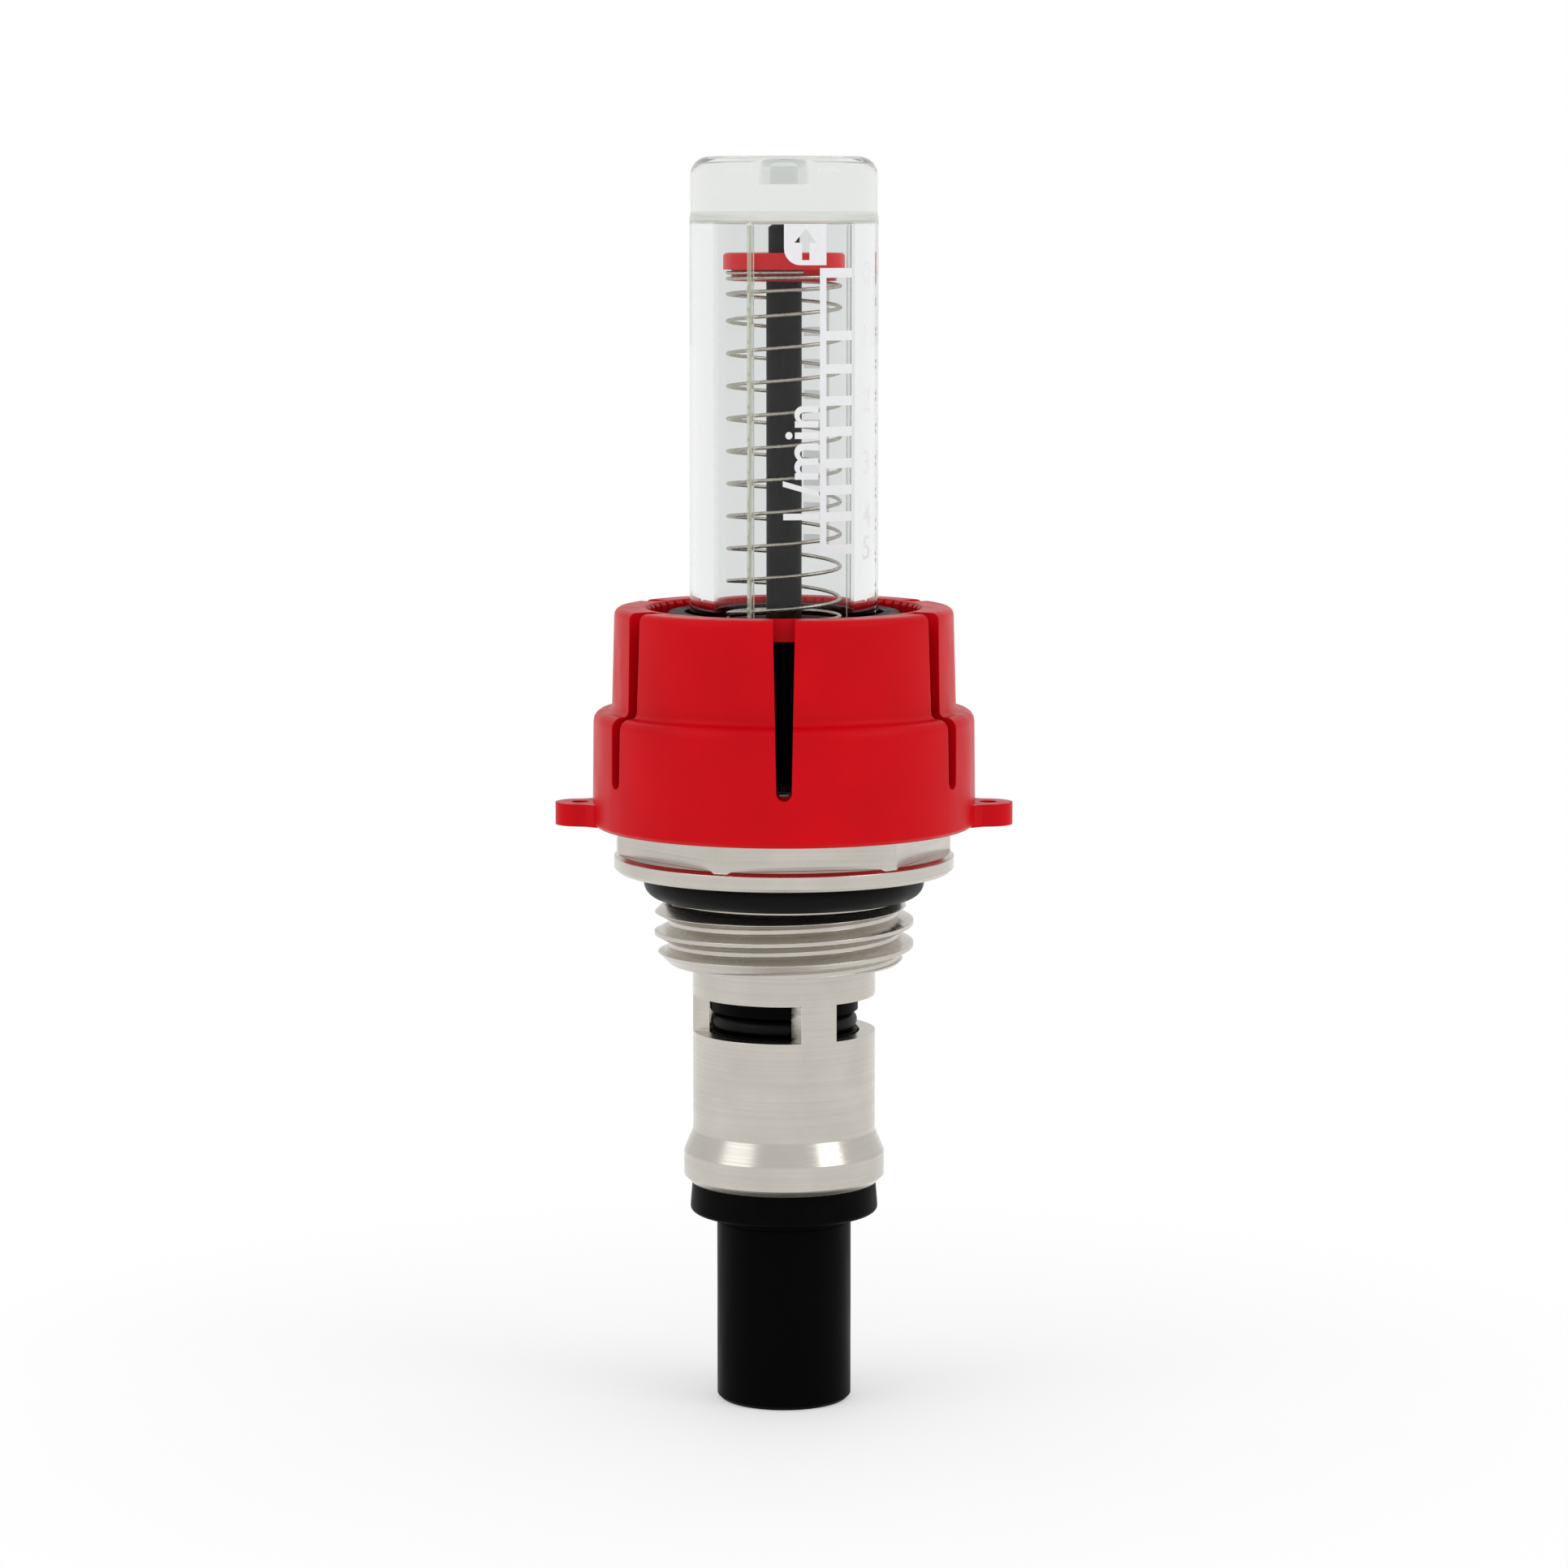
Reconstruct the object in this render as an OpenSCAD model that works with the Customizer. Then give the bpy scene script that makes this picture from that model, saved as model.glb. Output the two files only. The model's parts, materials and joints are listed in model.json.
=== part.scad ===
// Flow meter and balancing valve insert for a heating manifold.
// A turned metal body screws into the manifold. The handwheel on top carries the sight glass and
// lifts the throttle piston through a sliding hexagon. A slotted ring locks the setting.
//
// The valve's axis is Z, and +Z points up to the sight glass. The origin is on the axis, in the
// flange face that seals on the manifold. The front is -Y. Lengths are in millimetres.

/* [Manifold end] */
// Outside diameter of the pipe thread
thread_d = 20.955; // [20.8:0.005:21]
// Distance from one thread crest to the next
thread_pitch = 1.8143; // [1.78:0.0001:1.85]
// Outside diameter of the flange
flange_d = 27.44; // [27.2:0.02:27.8]
// Size of the spanner hexagon across its flats
hex_af = 24; // [23.6:0.1:24.2]
// Turn of the spanner hexagon about the axis
hex_turn = 8.4; // [0:0.2:60]
// Outside diameter of the stem below the thread
stem_d = 14.77; // [14.5:0.01:15]
// Length of the body below the flange face
stem_length = 25.5; // [25.4:0.1:27]
// Height of the flow windows in the stem
window_height = 3; // [2:0.1:3.2]
// Number of flow windows
window_count = 3; // [2:1:4]
// Outside width of the ribs between the flow windows
rib_width = 2.96; // [2:0.02:4]
// Turn of the ribs about the axis
rib_turn = 22.8; // [0:0.1:120]
// Outside diameter of the outlet tube
outlet_d = 10.9; // [10.6:0.05:10.95]
// Length of the outlet tube below its collar
outlet_length = 15.5; // [14:0.5:30]

/* [Handwheel] */
// Outside diameter of the grip
wheel_d = 21.2; // [20.6:0.1:21.4]
// Height of the grip's top face
wheel_top = 20.3; // [20:0.1:20.6]
// Number of grooves around the grip
knurl_count = 40; // [24:1:50]
// Size of the sliding hexagon across its flats
slide_af = 10; // [9:0.1:10.4]

/* [Sight glass] */
// Outside diameter of the glass at its foot
glass_d = 15.16; // [14.8:0.02:15.6]
// Outside diameter of the solid head
head_d = 14.9; // [14:0.02:15]
// Diameter of the hollow
cavity_d = 11.3; // [10.9:0.05:11.8]
// Height of the glass's top face
glass_top = 57.1; // [55:0.1:62]
// Thickness of the solid head above the hollow
head_thickness = 4.8; // [4:0.1:5.5]

/* [Indicator] */
// Diameter of the rod
rod_d = 2.84; // [2.6:0.02:2.88]
// Diameter of the disc
disc_d = 9.7; // [9.4:0.05:9.9]
// Height of the disc's underside at no flow
disc_height = 48.2; // [40:0.1:48.6]
// Outside diameter of the spring
spring_d = 9.3; // [9.2:0.02:9.6]
// Diameter of the spring's wire
wire_d = 0.3; // [0.26:0.01:0.34]
// Turns of the spring at full pitch
open_turns = 9; // [6:1:12]

/* [Lock ring] */
// Outside diameter of the upper part, at its foot
ring_upper_d = 27.66; // [27.4:0.02:28]
// Outside diameter of the lower part, at its foot
ring_lower_d = 30.86; // [30.4:0.02:31.4]
// Height of the ring's top face
ring_top = 21.26; // [21.2:0.02:22]
// Height of the step between the two parts
ring_step = 13; // [11:0.1:15]
// Height of the ring's bottom face
ring_bottom = 3.7; // [3:0.1:5]
// Number of slots
slot_count = 6; // [3:1:8]
// Width of a slot at the top
slot_width_top = 1.73; // [1.2:0.01:2]
// Width of a slot at its foot
slot_width_foot = 1.2; // [0.8:0.01:1.2]
// Distance between the two eyelets
eyelet_spacing = 32.9; // [32.6:0.1:34]
// Diameter of the hole in an eyelet
eyelet_hole_d = 1.4; // [1:0.1:1.8]

/* [Hidden] */
$fn = 96;
over = 0.1;   // how far a cut runs past the face it opens
run = 0.1;    // radial gap round a piece that slides or turns in another
snug = 0.05;  // radial gap round a piece that is fixed in another
press = 0.02; // radial gap round a piece that is pressed into another

// pipe thread
thread_r = thread_d / 2;
thread_depth = 0.6403 * thread_pitch;
thread_flank = 27.5;           // half of the thread's 55 degree angle
thread_root_r = thread_r - thread_depth;
thread_end = -7.5;             // height of the threaded part's lower face
thread_runout = -2.3;          // height where the ridge has died away
thread_crest = -4.2;           // height of a crest on the +X side
thread_segments = 48;          // facets in one turn of the ridge

// body: heights of its shoulders, and radii of its turned steps
flange_r = flange_d / 2;
flange_top = 1.5;
hex_top = 8;
hex_corner_r = 13.55;
neck_r = 8.6;
neck_top = 13.4;
stem_r = stem_d / 2;
stem_end = -stem_length;
undercut_r = 8.9;
lip = 0.12;                    // edge left between the undercut and the thread
seal_recess_r = 11.5;
seal_recess_depth = 0.3;
nose_r = 8.13;
nose_length = 2.5;
nose_cone = 1.8;
nose_chamfer = 0.58;
window_top = -10.1;
rib_flare = 0.23;              // how much a rib's side widens inwards, in mm per mm
edge = 0.3;

// body: bores from the top down
sleeve_r = 7.3;
sleeve_floor = 1.8;
nut_thread_r = 6.4;            // the female thread is a plain bore
nut_thread_end = -6;
socket_r = 6.6;
socket_depth = 4.3;
stem_bore_top = nut_thread_end;
piston_r = 6;
stem_bore_r = piston_r + run;

// snap rings: the groove is cut half in each of the two pieces
clip_height = 0.7;
wheel_clip_z = 11.2;
tube_clip_z = stem_end + 1.55;
clip_gap = 2.5;
clip_slack = 0.03;             // gap above and below a ring in its groove
clip_inner_bite = 0.5;         // depth of the groove in the inner piece
clip_outer_bite = 0.4;         // depth of the groove in the outer piece

// outlet tube and its collar
collar_top = stem_end - snug;
collar_bottom = stem_end - 2.5;
collar_seat = 0.6;
collar_round = 0.4;
collar_r = stem_r + 0.235;
collar_lean = 0.17;            // how far the collar leans in towards its top
outlet_r = outlet_d / 2;
outlet_end = collar_bottom - outlet_length;
tube_root_r = outlet_r + 0.3;  // the tube is a little thicker inside the collar
tube_root_end = collar_bottom - 0.6;
tube_line_width = 0.15;        // turned line round the tube, below the collar
tube_line_depth = 0.06;
spigot_r = socket_r - snug;
tube_bore_top_r = 4.4;
tube_bore_end_r = 4.9;

// handwheel
wheel_r = wheel_d / 2;
wheel_bottom = hex_top + 0.1;
skirt_r = 8.75;
skirt_roof = 13.8;
sleeve_end = 2;
wheel_floor = 15.6;            // the sight glass stands on this face
glass_bore_end = 12.4;
glass_bore_r = 6.3;
pocket_r = 8.8;
pocket_top = 17.4;
nut_bore_r = 9.2;
knurl_r = 0.5;
knurl_depth = 0.3;

// sight glass
spigot_end = 12.95;
spigot_bore_r = 5.3;
glass_flange_r = pocket_r - run;
glass_draft = 0.06;            // how far the tube leans in over its height
cavity_top = glass_top - head_thickness;
cavity_round = 0.5;
rib_angle = 244;               // direction of one of the three guide ribs
glass_rib_width = 0.3;
glass_rib_depth = 0.45;
head_round = 1.5;
recess_r = 1.95;
recess_depth = 2.2;
post_r = 1.1;
post_drop = 0.7;               // the post's top stands this far below the head's
post_round = 0.5;

// glass nut
nut_r = nut_bore_r - snug;
nut_hole_r = 8.02;
rim_r = 9.4;
rim_top = wheel_top + 0.6;
rim_edge = 0.2;

// spring seat, also the top guide of the rod
seat_flange_r = glass_bore_r - snug;
seat_flange_height = 0.5;
seat_plug_r = 4.9;
seat_top = 20.25;
vent_r = 0.6;
vent_circle_r = 3.2;

// throttle piston, drawn in its closed position
shank_top = 8.6;
piston_shoulder = -1.85;
piston_thread_r = nut_thread_r - run;
piston_thread_end = -5.95;
piston_end = -17;
piston_cone = 1.4;
piston_tip_r = 4;
piston_bore_r = 2;
bush_bore_r = 2.6;
bush_length = 3.8;
bush_set_in = 0.2;             // the bush ends this far inside the piston's mouth

// O-rings: section diameter, and the groove that takes them
ring_slack = 0.02;             // gap between a ring and the floor of its groove
small_section = 0.96;
small_groove = 1.2;
stem_groove_r = 5.04;
stem_groove_z = -7.6;
shutoff_groove_z = -14;
throttle_section = 1.3;
throttle_groove = 1.6;
throttle_groove_r = 4.6;
throttle_groove_z = -12.15;
throttle_ring_z = throttle_groove_z - 0.1;
sleeve_groove_r = 6.4;
sleeve_groove_z = 9.1;
face_groove_r = 7.5;
face_groove_depth = 1;
manifold_section = 2.4;
manifold_ring_r = 11.33 - manifold_section / 2;
manifold_ring_z = -0.95;

// indicator
rod_r = rod_d / 2;
rod_foot = -19.8;
stud_r = 1;
stud_end = -21.7;
tip_r = 1.25;
tip_top = 51.8;
hub_r = 4.2;
hub_height = 0.9;
disc_thickness = 1.3;
disc_chamfer = 0.18;
baffle_r = 3.9;
baffle_thickness = 0.8;
baffle_nut_af = 4;
baffle_nut_height = 0.8;

// spring: one closed turn at the foot, the open turns, then turns that close up to the disc
wire_r = wire_d / 2;
coil_r = spring_d / 2 - wire_r;
wire_gap = 0.1;                // gap between two closed turns
wire_step = wire_d + wire_gap;
spring_gap = 0.01;             // gap between the spring and the disc
closed_turns = 1;
closing_turns = 2.42;
end_turns = 0.88;
coil_turns = closed_turns + open_turns + closing_turns + end_turns;
coil_foot = seat_top + wire_r;
coil_head = disc_height - wire_r - spring_gap;
closed_rise = wire_step * (closed_turns + end_turns + closing_turns / 2);
coil_pitch = (coil_head - coil_foot - closed_rise) / (open_turns + closing_turns / 2);
coil_segments = 24;
wire_sides = 8;

// lock ring
ring_draft = 0.1;              // how far each part leans in over its height
ring_upper_r = ring_upper_d / 2;
ring_lower_r = ring_lower_d / 2;
step_round = 0.85;
step_fillet = 0.5;
top_round = 0.6;
ring_bore_r = 12;
lip_r = 10.9;                  // inner edge of the lip over the handwheel
lip_outer_r = 11.5;
lip_bottom = 19.45;
lip_teeth = 60;
lip_tooth_r = 0.22;
socket_top = hex_top + 0.2;
slot_foot = 7.4;
eyelet_r = 2;
eyelet_thickness = 1.79;
eyelet_web = 5.4;

// colours
nickel = [0.78, 0.77, 0.74];
steel = [0.72, 0.71, 0.68];
black_plastic = [0.09, 0.09, 0.1];
black_rubber = [0.05, 0.05, 0.055];
dark_plastic = [0.2, 0.2, 0.21];
red_plastic = [0.82, 0.08, 0.12];
clear_plastic = [0.86, 0.9, 0.88, 0.35];

function corner_radius(af) = af / 2 / cos(30);

// Points on an arc about [r, z], from angle a0 to a1.
arc_steps = 4;
function arc(r, z, radius, a0, a1) = [
  for (i = [0:arc_steps])
    let (a = a0 + (a1 - a0) * i / arc_steps)
    [r + radius * cos(a), z + radius * sin(a)]
];

// A round bar from height z0 to z1.
module bar(r, z0, z1) {
  translate([0, 0, z0])
    cylinder(h = z1 - z0, r = r);
}

// A tapered bar, of radius r0 at height z0 and r1 at z1.
module taper(r0, z0, r1, z1) {
  translate([0, 0, z0])
    cylinder(h = z1 - z0, r1 = r0, r2 = r1);
}

// A tube from height z0 to z1.
module tube(outer_r, inner_r, z0, z1) {
  difference() {
    bar(outer_r, z0, z1);
    bar(inner_r, z0 - over, z1 + over);
  }
}

// A hexagonal bar.
module hexagon(af, z0, z1) {
  translate([0, 0, z0])
    cylinder(h = z1 - z0, r = corner_radius(af), $fn = 6);
}

// An O-ring at height z, of the given section, round a groove floor of radius r.
module o_ring(r, section, z) {
  translate([0, 0, z])
    rotate_extrude()
      translate([r + section / 2 + ring_slack, 0])
        circle(d = section);
}

// A snap ring that is open at one side. It sits in a groove in the wall of radius outer_r round it,
// and in one in the wall of radius inner_r inside it.
module snap_ring(outer_r, inner_r, z) {
  difference() {
    tube(
      outer_r + clip_outer_bite - snug, inner_r - clip_inner_bite + snug,
      z + clip_slack, z + clip_height - clip_slack
    );
    translate([-clip_gap / 2, 0, z])
      cube([clip_gap, 2 * outer_r, clip_height]);
  }
}

// A bar with the given section of [radius, height] points, carried round the axis through a list
// of heights, one for each segment of a turn.
module coil(section, heights, start_angle, segments) {
  sides = len(section);
  last = len(heights) - 1;
  points = [
    for (i = [0:last], corner = section)
      let (angle = start_angle + i * 360 / segments)
      [corner[0] * cos(angle), corner[0] * sin(angle), corner[1] + heights[i]]
  ];
  walls = [
    for (i = [0:last - 1], k = [0:sides - 1])
      let (a = i * sides + k, b = i * sides + (k + 1) % sides)
      each [[a, b, b + sides], [a, b + sides, a + sides]]
  ];
  start_cap = [for (k = [0:sides - 1]) sides - 1 - k];
  end_cap = [for (k = [0:sides - 1]) last * sides + k];
  polyhedron(points, concat(walls, [start_cap], [end_cap]));
}

// ---- valve body ----

// The turned outline, without the hexagon and the thread's ridge.
module body_turning() {
  rotate_extrude()
    polygon([
      [0, stem_end],
      [nose_r - nose_chamfer, stem_end],
      [nose_r, stem_end + nose_chamfer],
      [nose_r, stem_end + nose_length],
      [stem_r, stem_end + nose_length + nose_cone],
      [stem_r, thread_end],
      [thread_root_r, thread_end],
      [thread_root_r, thread_runout - lip / 2],
      [thread_root_r + lip, thread_runout - lip / 2],
      [thread_root_r + lip, thread_runout + lip],
      [undercut_r, thread_runout + lip],
      [undercut_r, seal_recess_depth],
      [seal_recess_r, seal_recess_depth],
      [seal_recess_r, 0],
      [flange_r - edge, 0],
      [flange_r, edge],
      [flange_r, flange_top - edge],
      [flange_r - edge, flange_top],
      [neck_r, flange_top],
      [neck_r, neck_top - edge],
      [neck_r - edge, neck_top],
      [0, neck_top],
    ]);
}

// Spanner hexagon with turned corners and a chamfered top.
module spanner_hexagon() {
  chamfer = 1.2;
  intersection() {
    rotate([0, 0, hex_turn])
      hexagon(hex_af, flange_top - edge, hex_top);
    union() {
      bar(hex_corner_r, flange_top - edge, hex_top - chamfer);
      taper(hex_corner_r, hex_top - chamfer, hex_corner_r - 2 * chamfer, hex_top);
    }
  }
}

function ridge_half_width(r) = thread_pitch / 12 + (thread_r - r) * tan(thread_flank);

// The thread's ridge. It is wound a little proud and too long, then cut to the thread's outline.
module thread_ridge() {
  foot_r = thread_root_r - 0.2;
  proud_r = thread_r + 0.15;
  inside_r = foot_r - 0.5;
  section = [
    [foot_r, -ridge_half_width(foot_r)],
    [proud_r, -ridge_half_width(proud_r)],
    [proud_r, ridge_half_width(proud_r)],
    [foot_r, ridge_half_width(foot_r)],
  ];
  turns_below = 2.5;
  turns = 4;
  first = thread_crest - turns_below * thread_pitch;
  heights = [for (i = [0:turns * thread_segments]) first + thread_pitch * i / thread_segments];
  intersection() {
    coil(section, heights, -360 * turns_below, thread_segments);
    rotate_extrude()
      polygon([
        [inside_r, thread_end],
        [thread_root_r, thread_end],
        [thread_r, thread_end + thread_depth],
        [thread_r, thread_runout - thread_depth],
        [thread_root_r, thread_runout],
        [inside_r, thread_runout],
      ]);
  }
}

// Windows through the stem. The ribs between them get wider towards the bore.
module window_cut() {
  inner = stem_bore_r - 1;
  outer = stem_r + 1;
  inner_half = rib_width / 2 + rib_flare * (stem_r - inner);
  outer_half = rib_width / 2 - rib_flare * (outer - stem_r);
  difference() {
    bar(stem_r + over, window_top - window_height, window_top);
    for (i = [0:window_count - 1])
      rotate([0, 0, rib_turn - 90 + 360 * i / window_count])
        translate([0, 0, window_top - window_height - over])
          linear_extrude(height = window_height + 2 * over)
            polygon([
              [inner, -inner_half],
              [outer, -outer_half],
              [outer, outer_half],
              [inner, inner_half],
            ]);
  }
}

module valve_body() {
  color(nickel)
    difference() {
      union() {
        body_turning();
        spanner_hexagon();
        thread_ridge();
      }
      bar(sleeve_r + run, sleeve_floor, neck_top + over);
      bar(nut_thread_r, nut_thread_end, sleeve_floor + over);
      bar(stem_bore_r, stem_end - over, stem_bore_top + over);
      bar(socket_r, stem_end - over, stem_end + socket_depth);
      bar(socket_r + clip_outer_bite, tube_clip_z, tube_clip_z + clip_height);
      tube(neck_r + over, neck_r - clip_inner_bite, wheel_clip_z, wheel_clip_z + clip_height);
      window_cut();
    }
}

module manifold_o_ring() {
  color(black_rubber)
    translate([0, 0, manifold_ring_z])
      rotate_extrude()
        translate([manifold_ring_r, 0])
          circle(d = manifold_section);
}

// Soft collar under the end of the body.
module seat_seal() {
  color(black_rubber)
    rotate_extrude()
      polygon(concat(
        [
          [tube_root_r + snug, collar_bottom],
          [tube_root_r + snug, stem_end - collar_seat - snug],
          [socket_r, stem_end - collar_seat - snug],
          [socket_r, collar_top],
          [collar_r - collar_lean, collar_top],
        ],
        arc(collar_r - collar_round, collar_bottom + collar_round, collar_round, 0, -90)
      ));
}

module flow_tube() {
  color(black_plastic)
    difference() {
      union() {
        taper(outlet_r - edge, outlet_end, outlet_r, outlet_end + edge);
        bar(outlet_r, outlet_end + edge, tube_root_end - tube_line_width);
        bar(outlet_r - tube_line_depth, outlet_end + edge, tube_root_end);
        bar(tube_root_r, tube_root_end, stem_end);
        bar(spigot_r, stem_end - collar_seat, stem_end + socket_depth - over);
      }
      taper(tube_bore_end_r, outlet_end - over, tube_bore_top_r, stem_end + socket_depth);
      tube(spigot_r + over, spigot_r - clip_inner_bite, tube_clip_z, tube_clip_z + clip_height);
    }
}

module tube_clip() {
  color(steel)
    snap_ring(socket_r, spigot_r, tube_clip_z);
}

// ---- handwheel ----

module knurl() {
  for (i = [0:knurl_count - 1])
    rotate([0, 0, i * 360 / knurl_count])
      translate([wheel_r + knurl_r - knurl_depth, 0, wheel_bottom - over])
        cylinder(h = wheel_top - wheel_bottom + 2 * over, r = knurl_r);
}

module handwheel() {
  color(black_plastic)
    difference() {
      union() {
        taper(wheel_r - edge, wheel_bottom, wheel_r, wheel_bottom + edge);
        bar(wheel_r, wheel_bottom + edge, wheel_top - edge);
        taper(wheel_r, wheel_top - edge, wheel_r - edge, wheel_top);
        bar(sleeve_r, sleeve_end, wheel_bottom + edge);
      }
      tube(skirt_r, sleeve_r, wheel_bottom - over, skirt_roof);
      tube(skirt_r + clip_outer_bite, neck_r, wheel_clip_z, wheel_clip_z + clip_height);
      hexagon(slide_af + 2 * run, sleeve_end - over, glass_bore_end + over);
      bar(glass_bore_r, glass_bore_end, wheel_floor + over);
      bar(pocket_r, wheel_floor, pocket_top + over);
      bar(nut_bore_r, pocket_top, wheel_top + over);
      tube(
        sleeve_r + over, sleeve_groove_r,
        sleeve_groove_z - small_groove / 2, sleeve_groove_z + small_groove / 2
      );
      tube(
        face_groove_r + small_groove / 2, face_groove_r - small_groove / 2,
        wheel_floor - face_groove_depth, wheel_floor + over
      );
      knurl();
    }
}

module handwheel_o_ring() {
  color(black_rubber)
    o_ring(sleeve_groove_r, small_section, sleeve_groove_z);
}

module handwheel_circlip() {
  color(steel)
    snap_ring(skirt_r, neck_r, wheel_clip_z);
}

// ---- sight glass ----

// Turned outline of one side of the glass, from the axis outwards.
module glass_outline() {
  tube_r = glass_d / 2;
  head_r = head_d / 2;
  bore_r = cavity_d / 2;
  floor_z = glass_top - recess_depth;
  post_z = glass_top - post_drop;
  polygon(concat(
    [[0, cavity_top]],
    arc(bore_r - cavity_round, cavity_top - cavity_round, cavity_round, 90, 0),
    [
      [bore_r, pocket_top],
      [spigot_bore_r, wheel_floor],
      [spigot_bore_r, spigot_end],
      [glass_bore_r - run, spigot_end],
      [glass_bore_r - run, wheel_floor],
      [glass_flange_r, wheel_floor],
      [glass_flange_r, pocket_top],
      [tube_r, pocket_top],
      [tube_r - glass_draft, cavity_top],
      [head_r, cavity_top + edge],
    ],
    arc(head_r - head_round, glass_top - head_round, head_round, 0, 90),
    [
      [recess_r, glass_top],
      [recess_r, floor_z],
      [post_r, floor_z],
    ],
    arc(post_r - post_round, post_z - post_round, post_round, 0, 90),
    [[0, post_z]]
  ));
}

// Three ribs inside the glass, which guide the disc.
module guide_ribs() {
  for (i = [0:2])
    rotate([0, 0, rib_angle + 120 * i])
      translate([cavity_d / 2 - glass_rib_depth, -glass_rib_width / 2, pocket_top + edge])
        cube([glass_rib_depth + edge, glass_rib_width, cavity_top - pocket_top]);
}

module sight_glass() {
  color(clear_plastic) {
    rotate_extrude()
      glass_outline();
    guide_ribs();
  }
}

module glass_o_ring() {
  color(black_rubber)
    translate([0, 0, wheel_floor - face_groove_depth / 2])
      rotate_extrude()
        translate([face_groove_r, 0])
          circle(d = small_section);
}

module glass_nut() {
  color(black_plastic)
    difference() {
      union() {
        bar(nut_r, pocket_top, wheel_top);
        bar(rim_r, wheel_top, rim_top - rim_edge);
        taper(rim_r, rim_top - rim_edge, rim_r - rim_edge, rim_top);
      }
      bar(nut_hole_r, pocket_top - over, rim_top + over);
    }
}

module spring_seat() {
  color(black_plastic)
    difference() {
      union() {
        bar(seat_flange_r, glass_bore_end, glass_bore_end + seat_flange_height);
        bar(seat_plug_r, glass_bore_end, seat_top);
      }
      bar(rod_r + run, glass_bore_end - over, seat_top + over);
      for (a = [0:90:270])
        rotate([0, 0, a])
          translate([vent_circle_r, 0, 0])
            bar(vent_r, glass_bore_end - over, seat_top + over);
    }
}

// ---- throttle piston ----

module ring_groove(floor_r, width, z) {
  tube(piston_r + 1, floor_r, z - width / 2, z + width / 2);
}

module throttle_piston() {
  color(black_plastic)
    difference() {
      union() {
        hexagon(slide_af, piston_shoulder, shank_top);
        bar(piston_thread_r, piston_thread_end, piston_shoulder);
        bar(piston_r, piston_end + piston_cone, piston_thread_end);
        taper(piston_tip_r, piston_end, piston_r, piston_end + piston_cone);
      }
      bar(piston_bore_r, piston_end - over, shank_top + over);
      bar(bush_bore_r, piston_end - over, piston_end + bush_length + 2 * bush_set_in);
      ring_groove(stem_groove_r, small_groove, stem_groove_z);
      ring_groove(throttle_groove_r, throttle_groove, throttle_groove_z);
      ring_groove(stem_groove_r, small_groove, shutoff_groove_z);
    }
}

module upper_stem_o_ring() {
  color(black_rubber)
    o_ring(stem_groove_r, small_section, stem_groove_z);
}

module throttle_o_ring() {
  color(black_rubber)
    o_ring(throttle_groove_r, throttle_section, throttle_ring_z);
}

module shutoff_o_ring() {
  color(black_rubber)
    o_ring(stem_groove_r, small_section, shutoff_groove_z);
}

module rod_bush() {
  color(dark_plastic)
    tube(
      bush_bore_r - press, rod_r + run,
      piston_end + bush_set_in, piston_end + bush_set_in + bush_length
    );
}

// ---- indicator ----

module indicator_rod() {
  shoulder = disc_height - hub_height;
  color(dark_plastic) {
    bar(stud_r, stud_end, rod_foot);
    bar(rod_r, rod_foot, shoulder);
    bar(tip_r, shoulder, tip_top - edge);
    taper(tip_r, tip_top - edge, tip_r - edge, tip_top);
  }
}

module indicator_disc() {
  top = disc_height + disc_thickness;
  color(red_plastic)
    difference() {
      union() {
        bar(hub_r, disc_height - hub_height, disc_height);
        bar(disc_d / 2, disc_height, top - disc_chamfer);
        taper(disc_d / 2, top - disc_chamfer, disc_d / 2 - disc_chamfer, top);
      }
      bar(tip_r + press, disc_height - hub_height - over, top + over);
    }
}

module baffle_plate() {
  color(steel)
    tube(baffle_r, stud_r + press, rod_foot - baffle_thickness, rod_foot);
}

module baffle_nut() {
  top = rod_foot - baffle_thickness;
  color(steel)
    difference() {
      hexagon(baffle_nut_af, top - baffle_nut_height, top);
      bar(stud_r + press, top - baffle_nut_height - over, top + over);
    }
}

// Rise of the wire over the turns that close up, s turns after they start.
function closing_rise(s) = s * coil_pitch - s * s * (coil_pitch - wire_step) / (2 * closing_turns);

// Rise of the wire above its foot after a number of turns.
function coil_rise(turn) =
  turn < closed_turns
    ? turn * wire_step
    : turn < closed_turns + open_turns
      ? closed_turns * wire_step + (turn - closed_turns) * coil_pitch
      : turn < coil_turns - end_turns
        ? closed_turns * wire_step + open_turns * coil_pitch
          + closing_rise(turn - closed_turns - open_turns)
        : coil_head - coil_foot - (coil_turns - turn) * wire_step;

module indicator_spring() {
  section = [
    for (k = [0:wire_sides - 1])
      let (a = k * 360 / wire_sides)
      [coil_r + wire_r * cos(a), wire_r * sin(a)]
  ];
  heights = [
    for (i = [0:coil_turns * coil_segments])
      coil_foot + coil_rise(i / coil_segments)
  ];
  color(steel)
    coil(section, heights, 180, coil_segments);
}

// ---- lock ring ----

// Outside of the ring, and the smooth part of its bore.
module ring_turning() {
  rotate_extrude()
    polygon(concat(
      [
        [ring_bore_r, ring_bottom],
        [ring_lower_r - edge, ring_bottom],
        [ring_lower_r, ring_bottom + edge],
      ],
      arc(ring_lower_r - ring_draft - step_round, ring_step - step_round, step_round, 0, 90),
      arc(ring_upper_r + step_fillet, ring_step + step_fillet, step_fillet, 270, 180),
      arc(ring_upper_r - 2 * ring_draft - top_round, ring_top - top_round, top_round, 0, 90),
      [
        [lip_r + edge, ring_top],
        [lip_r, ring_top - edge],
        [lip_r, lip_bottom],
        [ring_bore_r, lip_bottom],
      ]
    ));
}

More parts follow.
